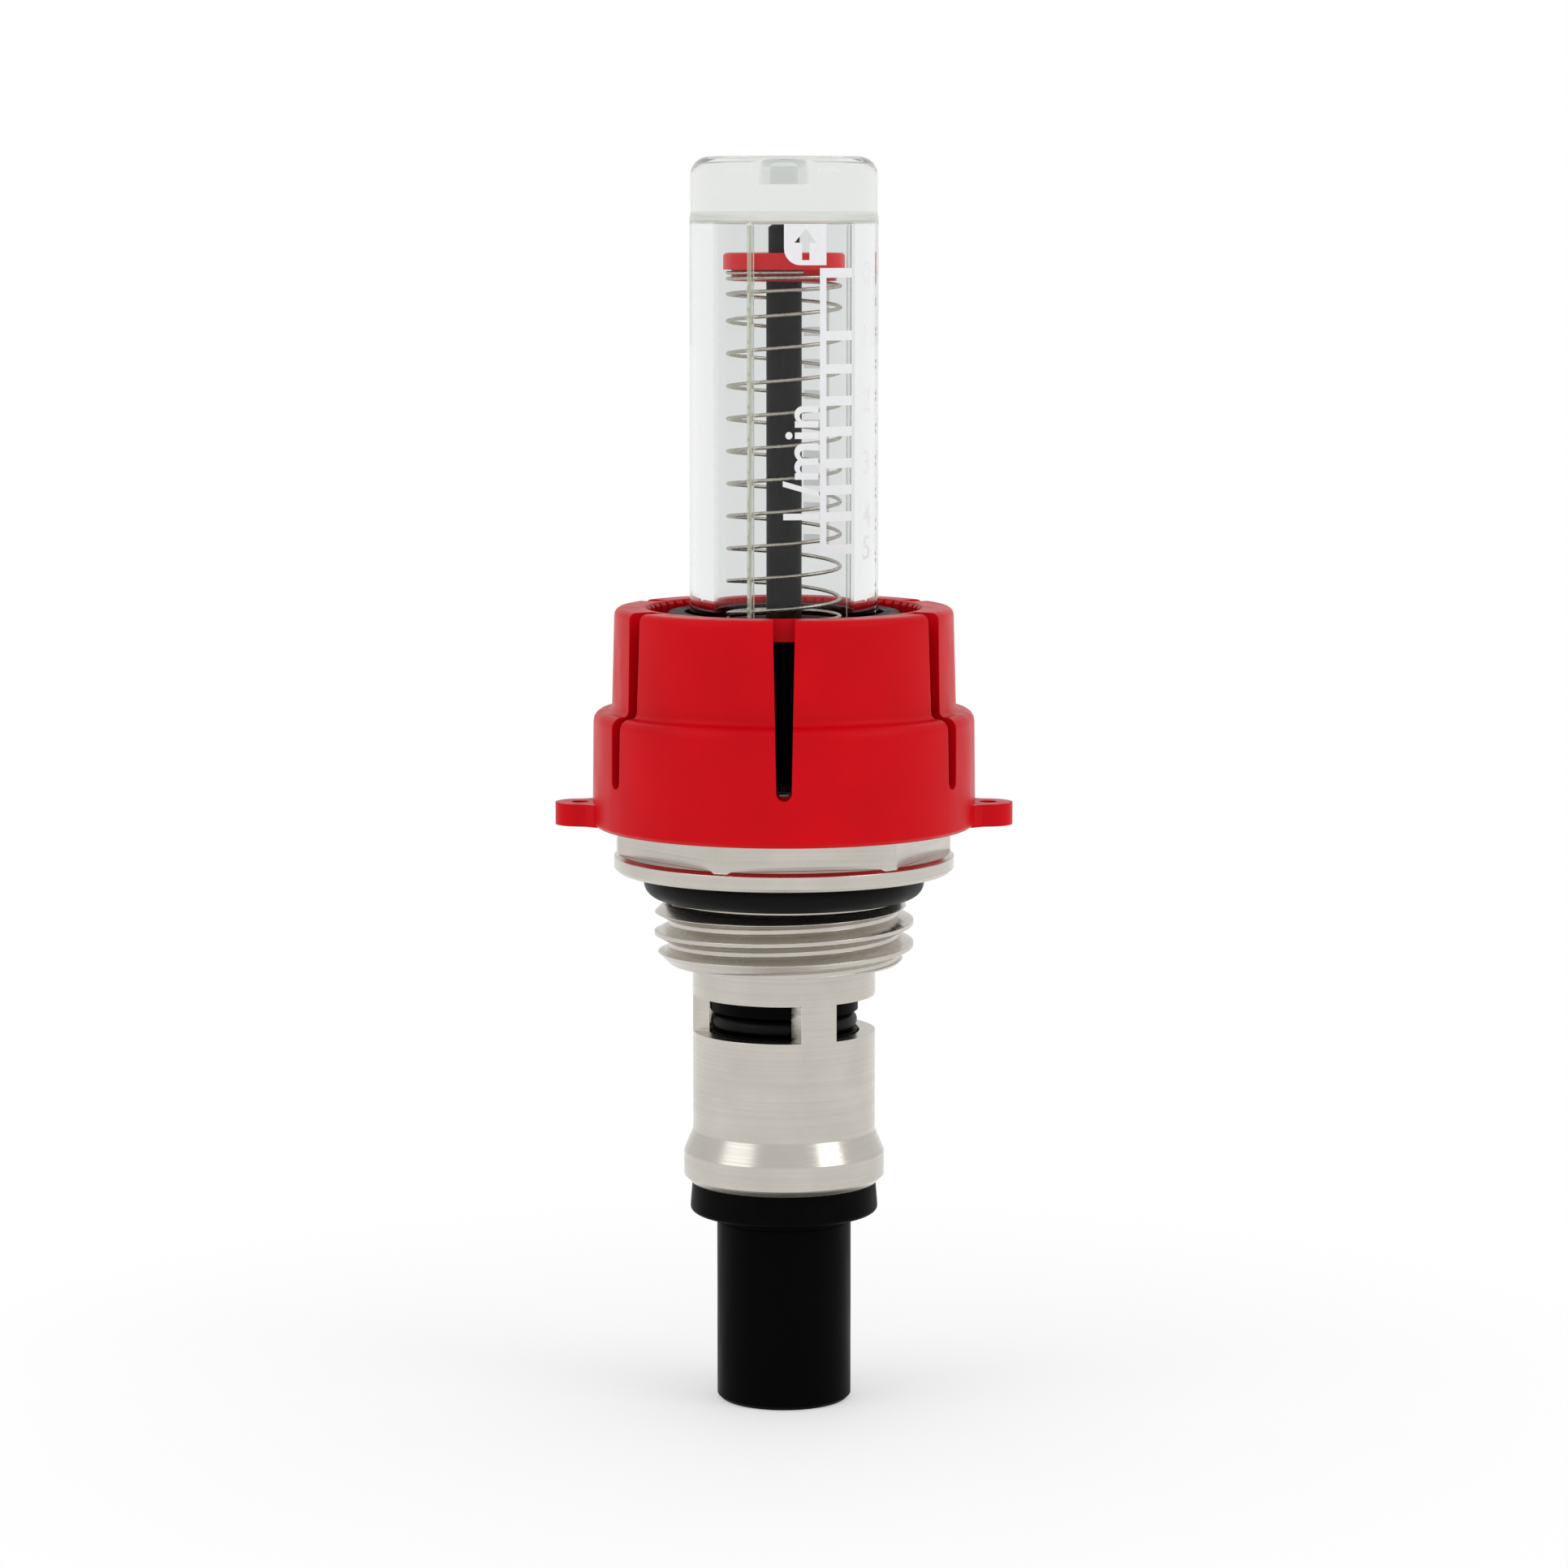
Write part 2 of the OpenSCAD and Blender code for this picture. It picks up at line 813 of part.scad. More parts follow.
// Outline of one slot, seen from outside: it narrows downwards to a round foot.
module slot_outline() {
  foot_r = slot_width_foot / 2;
  translate([0, slot_foot + foot_r])
    circle(r = foot_r);
  polygon([
    [-foot_r, slot_foot + foot_r],
    [foot_r, slot_foot + foot_r],
    [slot_width_top / 2, ring_top + over],
    [-slot_width_top / 2, ring_top + over],
  ]);
}

// The slots stop short of the lip over the handwheel.
module slots() {
  difference() {
    for (i = [0:slot_count - 1])
      rotate([0, 0, i * 360 / slot_count])
        rotate([90, 0, 0])
          linear_extrude(height = ring_lower_r + 1)
            slot_outline();
    bar(lip_outer_r, slot_foot - over, ring_top + 2 * over);
  }
}

// An eyelet on the +X side, for a sealing wire.
module eyelet() {
  root_x = ring_bore_r + 1.2;
  fillet_in = 0.2;
  fillet_out = 0.5;
  translate([0, 0, ring_bottom])
    linear_extrude(height = eyelet_thickness) {
      translate([eyelet_spacing / 2, 0])
        circle(r = eyelet_r);
      polygon([
        [root_x, -eyelet_web / 2],
        [ring_lower_r - fillet_in, -eyelet_web / 2],
        [ring_lower_r + fillet_out, -eyelet_r - over],
        [eyelet_spacing / 2, -eyelet_r],
        [eyelet_spacing / 2, eyelet_r],
        [ring_lower_r + fillet_out, eyelet_r + over],
        [ring_lower_r - fillet_in, eyelet_web / 2],
        [root_x, eyelet_web / 2],
      ]);
    }
}

// Socket that fits over the spanner hexagon.
module hexagon_socket() {
  intersection() {
    rotate([0, 0, hex_turn])
      hexagon(hex_af + 2 * run, ring_bottom - over, socket_top);
    bar(hex_corner_r + run, ring_bottom - over, socket_top);
  }
}

// Fine teeth round the inside of the lip.
module lip_teeth_cut() {
  for (i = [0:lip_teeth - 1])
    rotate([0, 0, i * 360 / lip_teeth])
      translate([lip_r, 0, lip_bottom - over])
        cylinder(h = ring_top - lip_bottom + 2 * over, r = lip_tooth_r);
}

module lock_ring() {
  color(red_plastic)
    difference() {
      union() {
        ring_turning();
        eyelet();
        mirror([1, 0, 0])
          eyelet();
      }
      hexagon_socket();
      slots();
      lip_teeth_cut();
      for (side = [-1, 1])
        translate([side * eyelet_spacing / 2, 0, 0])
          bar(eyelet_hole_d / 2, ring_bottom - over, ring_bottom + eyelet_thickness + over);
    }
}

valve_body();
manifold_o_ring();
seat_seal();
flow_tube();
tube_clip();
handwheel();
handwheel_o_ring();
handwheel_circlip();
sight_glass();
glass_o_ring();
glass_nut();
spring_seat();
throttle_piston();
upper_stem_o_ring();
throttle_o_ring();
shutoff_o_ring();
rod_bush();
indicator_rod();
indicator_disc();
indicator_spring();
baffle_plate();
baffle_nut();
lock_ring();
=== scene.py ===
"""Looks of the flow meter valve insert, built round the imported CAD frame.

The valve's axis is Z, the front is -Y, and the origin is in the flange face that seals on the manifold.
"""

import json
import math

import bmesh
import bpy
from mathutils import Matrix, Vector


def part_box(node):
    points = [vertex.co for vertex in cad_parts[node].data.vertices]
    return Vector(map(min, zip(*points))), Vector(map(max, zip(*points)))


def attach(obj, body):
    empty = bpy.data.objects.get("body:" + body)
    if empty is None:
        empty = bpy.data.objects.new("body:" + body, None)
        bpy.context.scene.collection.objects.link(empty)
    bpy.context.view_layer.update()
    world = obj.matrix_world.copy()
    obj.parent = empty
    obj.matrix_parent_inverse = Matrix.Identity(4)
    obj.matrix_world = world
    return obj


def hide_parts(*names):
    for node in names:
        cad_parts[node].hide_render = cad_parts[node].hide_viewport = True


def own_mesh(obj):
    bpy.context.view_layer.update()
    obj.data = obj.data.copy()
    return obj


MM = 0.001

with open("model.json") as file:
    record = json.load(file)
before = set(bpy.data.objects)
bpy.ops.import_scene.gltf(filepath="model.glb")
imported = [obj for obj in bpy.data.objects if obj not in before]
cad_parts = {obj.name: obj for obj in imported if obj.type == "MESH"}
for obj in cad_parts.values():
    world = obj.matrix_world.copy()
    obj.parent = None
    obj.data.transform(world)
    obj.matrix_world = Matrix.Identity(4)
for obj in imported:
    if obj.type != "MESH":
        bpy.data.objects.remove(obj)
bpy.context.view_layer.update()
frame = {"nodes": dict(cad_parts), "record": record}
nodes = frame["nodes"]


def low(node):
    """Height of a CAD node's lowest point."""
    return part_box(node)[0].z


def high(node):
    """Height of a CAD node's highest point."""
    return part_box(node)[1].z


def radius(node):
    """Largest radius of a CAD node that is round about the axis."""
    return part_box(node)[1].x


# sizes of the sight glass
GLASS_FOOT = low("sight_glass")
GLASS_TOP = high("sight_glass")
FLANGE_LOW = GLASS_FOOT + 2.65 * MM
FLANGE_HIGH = FLANGE_LOW + 1.8 * MM
HEAD_THICKNESS = 4.8 * MM
HOLLOW_TOP = GLASS_TOP - HEAD_THICKNESS
HOLLOW_ROUND = 0.5 * MM
GLASS_R = 7.58 * MM
GLASS_DRAFT = 0.06 * MM
HEAD_R = 7.45 * MM
HOLLOW_R = 5.65 * MM
RIB_ANGLES = [math.radians(a) for a in (-26, 94, 214)]
RIB_WIDTH = 0.3 * MM
RIB_DEPTH = 0.45 * MM


# ---------------------------------------------------------------- mesh building


def mesh_object(name, points, faces, material, smooth_angle=30.0):
    """A mesh object whose edges are smooth up to an angle in degrees."""
    mesh = bpy.data.meshes.new(name)
    mesh.from_pydata([tuple(p) for p in points], [], faces)
    made = bmesh.new()
    made.from_mesh(mesh)
    bmesh.ops.recalc_face_normals(made, faces=made.faces)
    for face in made.faces:
        face.smooth = True
    limit = math.radians(smooth_angle)
    for edge in made.edges:
        edge.smooth = len(edge.link_faces) == 2 and edge.calc_face_angle(0.0) < limit
    made.to_mesh(mesh)
    made.free()
    mesh.materials.append(material)
    item = bpy.data.objects.new(name, mesh)
    bpy.context.scene.collection.objects.link(item)
    return item


def loft(rings):
    """Points and faces of a skin through rings of equally many points, capped at both ends."""
    count = len(rings[0])
    points = [p for ring in rings for p in ring]
    faces = []
    for r in range(len(rings) - 1):
        for k in range(count):
            a = r * count + k
            b = r * count + (k + 1) % count
            faces.append((a, b, b + count, a + count))
    faces.append(tuple(range(count)))
    faces.append(tuple((len(rings) - 1) * count + k for k in range(count)))
    return points, faces


# ---------------------------------------------------------------- materials


class Shader:
    """A material's node tree, with short calls for adding and joining nodes."""

    def __init__(self, name):
        self.material = bpy.data.materials.new(name)
        self.material.use_nodes = True
        self.tree = self.material.node_tree
        self.surface = self.tree.nodes["Principled BSDF"]
        self.output = self.tree.nodes["Material Output"]

    def add(self, kind, inputs=None, **settings):
        """A new node. An input is a value, or another node's socket."""
        node = self.tree.nodes.new("ShaderNode" + kind)
        for key, value in settings.items():
            setattr(node, key, value)
        for key, value in (inputs or {}).items():
            self.join(value, node.inputs[key])
        return node

    def join(self, value, socket):
        if isinstance(value, bpy.types.NodeSocket):
            self.tree.links.new(value, socket)
        else:
            socket.default_value = value

    def set(self, **inputs):
        """Sets inputs of the main surface; an underscore in a name stands for a space."""
        for key, value in inputs.items():
            self.join(value, self.surface.inputs[key.replace("_", " ")])

    def position(self, stretch=(1, 1, 1)):
        """Position on the object, in metres, stretched along each axis."""
        where = self.add("TexCoord")
        mapping = self.add("Mapping", {"Vector": where.outputs["Object"], "Scale": stretch})
        return mapping.outputs["Vector"]

    def noise(self, scale, detail=2.0, stretch=(1, 1, 1)):
        """Noise from 0 to 1. Scale is in cells per metre."""
        node = self.add(
            "TexNoise",
            {"Vector": self.position(stretch), "Scale": scale, "Detail": detail},
        )
        return node.outputs["Fac"]

    def spread(self, value, low_out, high_out, low_in=0.3, high_in=0.7):
        """Maps a value from one range to another."""
        node = self.add(
            "MapRange",
            {
                "Value": value,
                "From Min": low_in,
                "From Max": high_in,
                "To Min": low_out,
                "To Max": high_out,
            },
        )
        return node.outputs["Result"]

    def blend(self, factor, first, second):
        """Mixes two colours."""
        node = self.add("Mix", data_type="RGBA")
        self.join(factor, node.inputs["Factor"])
        self.join(first, node.inputs["A"])
        self.join(second, node.inputs["B"])
        return node.outputs["Result"]

    def math(self, operation, first, second):
        """The result of a sum on two values."""
        return self.add("Math", {0: first, 1: second}, operation=operation).outputs["Value"]

    def soft_edges(self, width):
        """A normal that rounds off edges over a width in metres."""
        return self.add("Bevel", {"Radius": width}, samples=6).outputs["Normal"]

    def bump(self, height, distance, strength=1.0, normal=None):
        """A bumped normal. Distance is the depth of the relief in metres."""
        node = self.add(
            "Bump", {"Height": height, "Distance": distance, "Strength": strength}
        )
        if normal:
            self.join(normal, node.inputs["Normal"])
        return node.outputs["Normal"]

    def worn_edges(self, rounded):
        """Mask for a painted edge highlight: 1 on edges, 0 elsewhere, where a rounded normal leaves the
        true one.
        """
        true = self.add("NewGeometry")
        same = self.add(
            "VectorMath",
            {0: rounded, 1: true.outputs["Normal"]},
            operation="DOT_PRODUCT",
        )
        return self.spread(same.outputs["Value"], 1.0, 0.0, 0.8, 0.99)


def shade(colour, share):
    """A colour made lighter or darker by a share."""
    return tuple(min(1.0, c * share) for c in colour[:3]) + (1.0,)


def turned_nickel():
    """Nickel plate over turned brass: fine rings round the axis, cloudy patches, and edges painted lighter
    as a highlight.
    """
    s = Shader("turned_nickel")
    base = (0.56, 0.532, 0.482)
    rings = s.noise(1000, 3.0, (0.05, 0.05, 7.0))
    fine = s.noise(3200, 2.0, (0.05, 0.05, 6.0))
    cloud = s.noise(260, 3.0)
    rounded = s.soft_edges(0.1 * MM)
    tone = s.blend(s.spread(cloud, 0.0, 1.0), shade(base, 0.94), shade(base, 1.06))
    streaked = s.blend(s.spread(rings, 0.0, 0.35), tone, shade(base, 0.82))
    s.set(
        # edges painted lighter: a painted highlight on every edge
        Base_Color=s.blend(s.worn_edges(rounded), streaked, shade(base, 1.3)),
        Metallic=1.0,
        Roughness=s.spread(rings, 0.16, 0.3),
        Normal=s.bump(fine, 0.006 * MM, 0.9, rounded),
    )
    return s.material


def bright_steel():
    """Drawn wire and stamped sheet."""
    s = Shader("bright_steel")
    base = (0.5, 0.47, 0.41)
    grain = s.noise(3000, 2.0)
    s.set(
        Base_Color=s.blend(s.spread(grain, 0.0, 1.0), shade(base, 0.93), shade(base, 1.06)),
        Metallic=1.0,
        Roughness=s.spread(grain, 0.22, 0.36),
        Normal=s.bump(grain, 0.002 * MM, 0.3),
    )
    return s.material


def moulded_plastic(name, base, roughness, gloss, edge_highlight_share):
    """Moulded plastic: faint clouding, fine grain, and edges painted lighter as a highlight."""
    s = Shader(name)
    cloud = s.noise(180, 2.0)
    grain = s.noise(5200, 3.0)
    marks = s.noise(700, 4.0, (1.0, 1.0, 0.25))
    rounded = s.soft_edges(0.14 * MM)
    tone = s.blend(s.spread(cloud, 0.0, 1.0), shade(base, 0.94), shade(base, 1.05))
    s.set(
        # edges painted lighter: a painted highlight on every edge
        Base_Color=s.blend(s.worn_edges(rounded), tone, shade(base, edge_highlight_share)),
        Roughness=s.spread(marks, roughness - 0.06, roughness + 0.08),
        Specular_IOR_Level=gloss,
        Normal=s.bump(grain, 0.006 * MM, 0.6, rounded),
    )
    return s.material


def rubber(name, gloss):
    """Smooth black rubber with a dull bloom."""
    s = Shader(name)
    bloom = s.noise(420, 3.0)
    grain = s.noise(4200, 2.0)
    s.set(
        Base_Color=s.blend(
            s.spread(bloom, 0.0, 1.0), (0.0013, 0.0012, 0.0012, 1), (0.0028, 0.0026, 0.0024, 1)
        ),
        Roughness=s.spread(bloom, 0.35, 0.5),
        Specular_IOR_Level=gloss,
        Normal=s.bump(grain, 0.006 * MM, 0.5),
    )
    return s.material


def clear_plastic():
    """Clear moulded plastic, with pale painted highlights in the thick head and its top corner, and a cream
    painted highlight along the guide ribs.
    """
    s = Shader("clear_plastic")
    flow = s.noise(90, 2.0, (1.0, 1.0, 0.3))
    ripple = s.noise(260, 1.0, (1.0, 1.0, 0.35))
    tint = s.blend(s.spread(flow, 0.0, 1.0), (0.89, 0.9, 0.897, 1), (0.905, 0.912, 0.91, 1))
    rough = s.spread(flow, 0.0, 0.02)
    relief = s.bump(ripple, 0.006 * MM, 0.25)
    s.set(
        Base_Color=tint,
        Roughness=rough,
        IOR=1.5,
        Transmission_Weight=1.0,
        Normal=relief,
    )
    # a thin coating keeps the glass from shining where it is seen head on
    bent = s.add("BsdfRefraction", {"Color": tint, "Roughness": rough, "IOR": 1.5, "Normal": relief})
    mirror = s.add("Fresnel", {"IOR": 1.5}).outputs["Fac"]
    coated = s.add(
        "MixShader",
        {
            0: s.spread(mirror, 0.3, 1.0, 0.05, 0.2),
            1: bent.outputs["BSDF"],
            2: s.surface.outputs["BSDF"],
        },
    )
    where = s.position()
    level = s.add("VectorMath", {0: where, 1: (1, 1, 0)}, operation="MULTIPLY")
    from_axis = s.add("VectorMath", {0: level.outputs["Vector"]}, operation="LENGTH")
    height = s.add("SeparateXYZ", {"Vector": where}).outputs["Z"]
    reach = from_axis.outputs["Value"]
    # the guide ribs get a cream diffuse colour: a painted highlight along each rib
    rib_face = HOLLOW_R - RIB_DEPTH
    near = s.spread(reach, 0.6, 0.0, rib_face + 0.04 * MM, rib_face + 0.08 * MM)
    above = s.spread(height, 0.0, 1.0, FLANGE_HIGH, FLANGE_HIGH + 0.1 * MM)
    below = s.spread(height, 1.0, 0.0, HOLLOW_TOP - 0.7 * MM, HOLLOW_TOP - 0.6 * MM)
    rib = s.math("MULTIPLY", near, s.math("MULTIPLY", above, below))
    # the thick head, its top corner and the roof of the hollow get a pale diffuse colour: painted
    # highlights
    in_head = s.spread(height, 0.0, 0.12, HOLLOW_TOP, HOLLOW_TOP + 0.4 * MM)
    outer = s.spread(reach, 0.0, 1.0, HOLLOW_R, HOLLOW_R + 0.5 * MM)
    corner = s.spread(height, 0.0, 0.28, GLASS_TOP - 1.6 * MM, GLASS_TOP - 0.8 * MM)
    rise = s.spread(height, 0.0, 0.55, HOLLOW_TOP - 0.5 * MM, HOLLOW_TOP - 0.2 * MM)
    fall = s.spread(height, 1.0, 0.0, HOLLOW_TOP + 0.3 * MM, HOLLOW_TOP + 0.6 * MM)
    in_wall = s.math("MULTIPLY", outer, s.math("MAXIMUM", in_head, corner))
    painted_highlight_share = s.math("MAXIMUM", s.math("MAXIMUM", in_wall, s.math("MULTIPLY", rise, fall)), rib)
    # pale diffuse colour of the painted highlights, cream on the ribs
    cloud = s.add(
        "BsdfDiffuse", {"Color": s.blend(rib, (0.72, 0.74, 0.69, 1), (0.8, 0.81, 0.55, 1))}
    )
    glass_with_painted_highlight = s.add(
        "MixShader", {0: painted_highlight_share, 1: coated.outputs["Shader"], 2: cloud.outputs["BSDF"]}
    )
    path = s.add("LightPath")
    see_through = s.add("BsdfTransparent", {"Color": (0.92, 0.935, 0.92, 1)})
    mixed = s.add(
        "MixShader",
        {
            0: path.outputs["Is Shadow Ray"],
            1: glass_with_painted_highlight.outputs["Shader"],
            2: see_through.outputs["BSDF"],
        },
    )
    s.join(mixed.outputs["Shader"], s.output.inputs["Surface"])
    return s.material


def white_print():
    """White pad-printed ink, slightly uneven, thin enough to let some light through, and glowing a little
    as painted light, most on its inner face.
    """
    s = Shader("white_print")
    uneven = s.noise(2400, 3.0)
    geometry = s.add("NewGeometry")
    level = s.add("VectorMath", {0: geometry.outputs["Position"], 1: (1, 1, 0)}, operation="MULTIPLY")
    outwards = s.add(
        "VectorMath",
        {0: geometry.outputs["True Normal"], 1: level.outputs["Vector"]},
        operation="DOT_PRODUCT",
    ).outputs["Value"]
    s.set(
        Base_Color=s.blend(
            s.spread(uneven, 0.0, 1.0), (0.78, 0.79, 0.82, 1), (0.81, 0.82, 0.85, 1)
        ),
        Roughness=s.spread(uneven, 0.35, 0.5),
        Normal=s.bump(uneven, 0.003 * MM, 0.3),
        # the ink glows as painted light, strongest on its inner face, which lies in shade behind the glass
        Emission_Color=(1.0, 0.99, 0.97, 1),
        Emission_Strength=s.spread(outwards, 0.32, 0.07, -0.001, 0.001),
    )
    glow = s.add("BsdfTranslucent", {"Color": (0.95, 0.94, 0.91, 1)})
    mixed = s.add("MixShader", {0: 0.3, 1: s.surface.outputs["BSDF"], 2: glow.outputs["BSDF"]})
    s.join(mixed.outputs["Shader"], s.output.inputs["Surface"])
    return s.material


def pale_floor():
    """Plain white floor that fades into the white backdrop."""
    s = Shader("pale_floor")
    grain = s.noise(40, 2.0)
    s.set(
        Base_Color=s.blend(
            s.spread(grain, 0.0, 1.0), (0.93, 0.93, 0.93, 1), (0.95, 0.95, 0.95, 1)
        ),
        Roughness=0.7,
    )
    place = s.add("TexCoord")
    distance = s.add("VectorMath", {0: place.outputs["Object"]}, operation="LENGTH")
    glow = s.add("Emission", {"Color": (1, 1, 1, 1), "Strength": 1.0})
    mixed = s.add(
        "MixShader",
        {
            0: s.spread(distance.outputs["Value"], 0.35, 1.0, 0.01, 0.08),
            1: s.surface.outputs["BSDF"],
            2: glow.outputs["Emission"],
        },
    )
    s.join(mixed.outputs["Shader"], s.output.inputs["Surface"])
    return s.material


NICKEL = turned_nickel()
STEEL = bright_steel()
# the last number is how much lighter each plastic's painted edge highlight is
BLACK = moulded_plastic("black_plastic", (0.0011, 0.001, 0.0009), 0.4, 0.025, 2.5)
GREY = moulded_plastic("grey_plastic", (0.013, 0.0125, 0.0125), 0.42, 0.08, 1.5)
RED = moulded_plastic("red_plastic", (0.55, 0.0008, 0.0055), 0.34, 0.08, 1.2)
DISC_RED = moulded_plastic("bright_red_plastic", (0.78, 0.02, 0.026), 0.3, 0.12, 1.1)
RUBBER = rubber("black_rubber", 0.11)
DULL_RUBBER = rubber("dull_black_rubber", 0.02)
CLEAR = clear_plastic()
PRINT = white_print()

CAD_MATERIALS = {
    "nickel_plated_brass": NICKEL,
    "spring_steel": STEEL,
    "black_plastic": BLACK,
    "grey_plastic": GREY,
    "red_plastic": RED,
    "clear_plastic": CLEAR,
    "black_rubber": RUBBER,
}


# nodes that look a little different from the rest of their slot
SPECIAL_LOOKS = {"indicator_disc": DISC_RED, "seat_seal": DULL_RUBBER}


def paint_cad_nodes():
    """Gives every CAD node the finished material of its slot."""
    for part in frame["record"]["subparts"]:
        name = part["node"]
        look = SPECIAL_LOOKS.get(name, CAD_MATERIALS[part["material_slot"]])
        nodes[name].data.materials.clear()
        nodes[name].data.materials.append(look)


# ---------------------------------------------------------------- sight glass

def around(angle, r, z):
    """The point at an angle round the axis: 0 is the front, and it grows towards +X."""
    return (r * math.sin(angle), -r * math.cos(angle), z)


def glass_angles():
    """Angles round the glass: even steps, and the two edges of each rib's flank."""
    steps = 132
    angles = [2 * math.pi * k / steps for k in range(steps)]
    half = RIB_WIDTH / 2 / HOLLOW_R
    flank = 0.03 * MM / HOLLOW_R
    clear = 1.6 * half
    for rib in RIB_ANGLES:
        angles = [a for a in angles if abs((a - rib + math.pi) % (2 * math.pi) - math.pi) > clear]
        angles += [(rib + side) % (2 * math.pi) for side in (-half - flank, -half, half, half + flank)]
    return sorted(angles)


def in_rib(angle):
    half = RIB_WIDTH / 2 / HOLLOW_R * 1.01
    return any(abs((angle - rib + math.pi) % (2 * math.pi) - math.pi) <= half for rib in RIB_ANGLES)


def glass_radius(z):
    """Outside radius of the glass's tube at a height."""
    return GLASS_R - GLASS_DRAFT * (z - FLANGE_HIGH) / (HOLLOW_TOP - FLANGE_HIGH)


def quarter(r, z, size, start, steps=6):
    """Points on a quarter circle about (r, z), from the start angle in degrees, anticlockwise."""
    return [
        (r + size * math.cos(math.radians(start + a)), z + size * math.sin(math.radians(start + a)))
        for a in (90 * k / steps for k in range(steps + 1))
    ]


def build_sight_glass():
    """The clear cup: flange and spigot below, guide ribs inside, and a solid head with a recess."""
    foot = GLASS_FOOT
    top = GLASS_TOP
    flange_r = radius("sight_glass")
    spigot_r = flange_r - 2.5 * MM
    spigot_bore_r = 5.3 * MM
    head_round = 1.5 * MM
    recess_r = 1.95 * MM
    recess_floor = top - 2.2 * MM
    post_r = 1.1 * MM
    post_top = top - 0.7 * MM
    post_round = 0.5 * MM
    lip = 0.12 * MM
    hold = 0.2 * MM  # a ring this close to a bend keeps the long wall beside it straight

    roof = HOLLOW_TOP - HOLLOW_ROUND
    inside = [
        (spigot_bore_r, foot),
        (spigot_bore_r, FLANGE_LOW),
        (HOLLOW_R, FLANGE_HIGH),
        (HOLLOW_R, roof - hold),
    ]
    inside += quarter(HOLLOW_R - HOLLOW_ROUND, roof, HOLLOW_ROUND, 0, 12)
    shoulder = HOLLOW_TOP + 0.3 * MM
    outside = [
        (spigot_r, foot),
        (spigot_r, FLANGE_LOW),
        (flange_r, FLANGE_LOW),
        (flange_r, FLANGE_HIGH),
        (glass_radius(FLANGE_HIGH), FLANGE_HIGH),
        (glass_radius(HOLLOW_TOP), HOLLOW_TOP),
        (HEAD_R, shoulder),
        (HEAD_R, top - head_round - hold),
    ]
    outside += quarter(HEAD_R - head_round, top - head_round, head_round, 0, 14)
    outside += [(recess_r + lip, top), (recess_r, top - lip), (recess_r, recess_floor)]
    outside += [(post_r, recess_floor)]
    outside += quarter(post_r - post_round, post_top - post_round, post_round, 0, 10)

    angles = glass_angles()
    rings = []
    for r, z in reversed(inside):
        ribbed = z > FLANGE_LOW
        rings.append([
            around(a, min(r, HOLLOW_R - RIB_DEPTH) if ribbed and in_rib(a) else r, z)
            for a in angles
        ])
    for r, z in outside:
        rings.append([around(a, r, z) for a in angles])
    points, faces = loft(rings)
    item = mesh_object("sight_glass_clear", points, faces, CLEAR, 10)
    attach(item, "handwheel")
    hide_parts("sight_glass")
    return item


# ---------------------------------------------------------------- scale printed on the glass


def filled_outlines(outlines):
    """Flat mesh data, (points, faces), of closed outlines; one inside another is a hole."""
    curve = bpy.data.curves.new("outline", "CURVE")
    curve.dimensions = "2D"
    curve.fill_mode = "BOTH"
    for outline in outlines:
        spline = curve.splines.new("POLY")
        spline.points.add(len(outline) - 1)
        for point, (u, v) in zip(spline.points, outline):
            point.co = (u / MM, v / MM, 0, 1)
        spline.use_cyclic_u = True
    return flat_mesh(curve)


def lettering(text, height, length=None, weight=0.03):
    """Flat mesh data of a line of text with the given height and length; weight thickens it."""
    curve = bpy.data.curves.new("lettering", "FONT")
    curve.body = text
    curve.size = 4
    curve.offset = weight
    points, faces = flat_mesh(curve)
    left = min(u for u, v in points)
    wide = max(u for u, v in points) - left
    base = min(v for u, v in points)
    tall = max(v for u, v in points) - base
    share_v = height / tall
    share_u = length / wide if length else share_v
    return [((u - left) * share_u, (v - base) * share_v) for u, v in points], faces


def flat_mesh(curve):
    """The filled faces of a flat curve, then the curve is thrown away."""
    item = bpy.data.objects.new("flat", curve)
    bpy.context.scene.collection.objects.link(item)
    bpy.context.view_layer.update()
    mesh = bpy.data.meshes.new_from_object(item.evaluated_get(bpy.context.evaluated_depsgraph_get()))
    points = [(v.co.x * MM, v.co.y * MM) for v in mesh.vertices]
    faces = [tuple(f.vertices) for f in mesh.polygons]
    bpy.data.objects.remove(item)
    bpy.data.meshes.remove(mesh)
    return points, faces


def wrapped_ink(made, points, faces, turn):
    """Adds a thin closed layer on the glass. u runs along the arc and v is the height."""
    layer = bmesh.new()
    corners = [layer.verts.new((u, v, 0)) for u, v in points]
    for face in faces:
        layer.faces.new([corners[i] for i in face])
    bmesh.ops.remove_doubles(layer, verts=layer.verts, dist=0.002 * MM)
    strip = 0.3 * MM
    first = math.floor(min(v.co.x for v in layer.verts) / strip)
    last = math.ceil(max(v.co.x for v in layer.verts) / strip)
    for k in range(first, last + 1):
        bmesh.ops.bisect_plane(
            layer,
            geom=layer.verts[:] + layer.edges[:] + layer.faces[:],
            plane_co=(k * strip, 0, 0),
            plane_no=(1, 0, 0),
        )
    layer.verts.index_update()
    lift = (0.004 * MM, 0.02 * MM)
    shells = []
    for height in lift:
        shells.append([
            made.verts.new(
                around(turn + v.co.x / GLASS_R, glass_radius(v.co.y) + height, v.co.y)
            )
            for v in layer.verts
        ])
    under, over = shells
    for face in layer.faces:
        ids = [v.index for v in face.verts]
        made.faces.new([over[i] for i in ids])
        made.faces.new([under[i] for i in reversed(ids)])
    for edge in layer.edges:
        if len(edge.link_faces) == 1:
            a, b = (v.index for v in edge.verts)
            made.faces.new([under[a], under[b], over[b], over[a]])
    layer.free()


